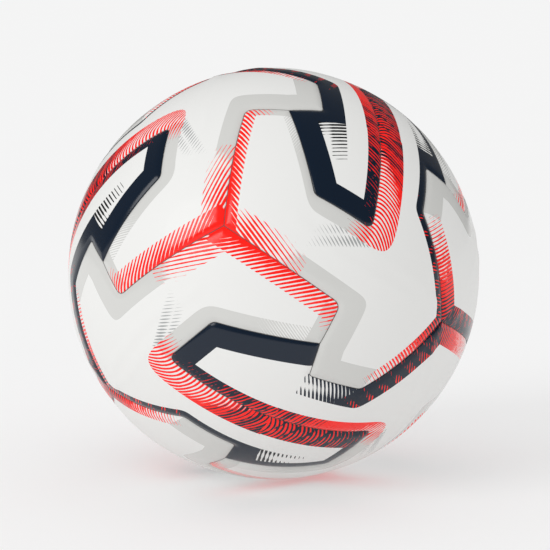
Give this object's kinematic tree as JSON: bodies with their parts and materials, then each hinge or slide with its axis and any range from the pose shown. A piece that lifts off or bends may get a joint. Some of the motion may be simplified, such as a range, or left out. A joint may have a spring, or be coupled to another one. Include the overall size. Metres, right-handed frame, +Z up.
{
  "type": "football",
  "caption": "Thermobonded match football: printed wing-shaped panels on foam over a wound rubber carcass, with an inner bladder and a needle valve.",
  "frame": {"origin": "centre of the ball", "axes": "+Z up as the ball lies in its pictured view, +Y outward along the valve's axis, +X to the right for a viewer who looks along +Y"},
  "size_m": [0.22, 0.2199, 0.22],
  "materials": {
    "printed_skin": "satin polyurethane skin, white with navy, red and pale grey printing along the seams",
    "backing_foam": "closed-cell foam sheet",
    "bonding_melt": "set hot-melt adhesive",
    "carcass_rubber": "moulded natural rubber, fine matt",
    "winding_thread": "nylon thread set in latex",
    "butyl_rubber": "cured butyl, matt",
    "valve_rubber": "moulded butyl, satin",
    "plug_rubber": "natural rubber, silicone-oiled"
  },
  "bodies": {
    "root": {"panel_01": "printed_skin", "panel_02": "printed_skin", "panel_03": "printed_skin", "panel_04": "printed_skin", "panel_05": "printed_skin", "panel_06": "printed_skin", "panel_07": "printed_skin", "panel_08": "printed_skin", "panel_09": "printed_skin", "panel_10": "printed_skin", "panel_11": "printed_skin", "panel_12": "printed_skin", "foam_01": "backing_foam", "foam_02": "backing_foam", "foam_03": "backing_foam", "foam_04": "backing_foam", "foam_05": "backing_foam", "foam_06": "backing_foam", "foam_07": "backing_foam", "foam_08": "backing_foam", "foam_09": "backing_foam", "foam_10": "backing_foam", "foam_11": "backing_foam", "foam_12": "backing_foam", "seam_bond": "bonding_melt", "carcass": "carcass_rubber", "thread_winding": "winding_thread", "bladder": "butyl_rubber", "valve_housing": "valve_rubber", "valve_plug": "plug_rubber", "valve_patch": "butyl_rubber", "balance_patch": "butyl_rubber"}
  },
  "joints": []
}
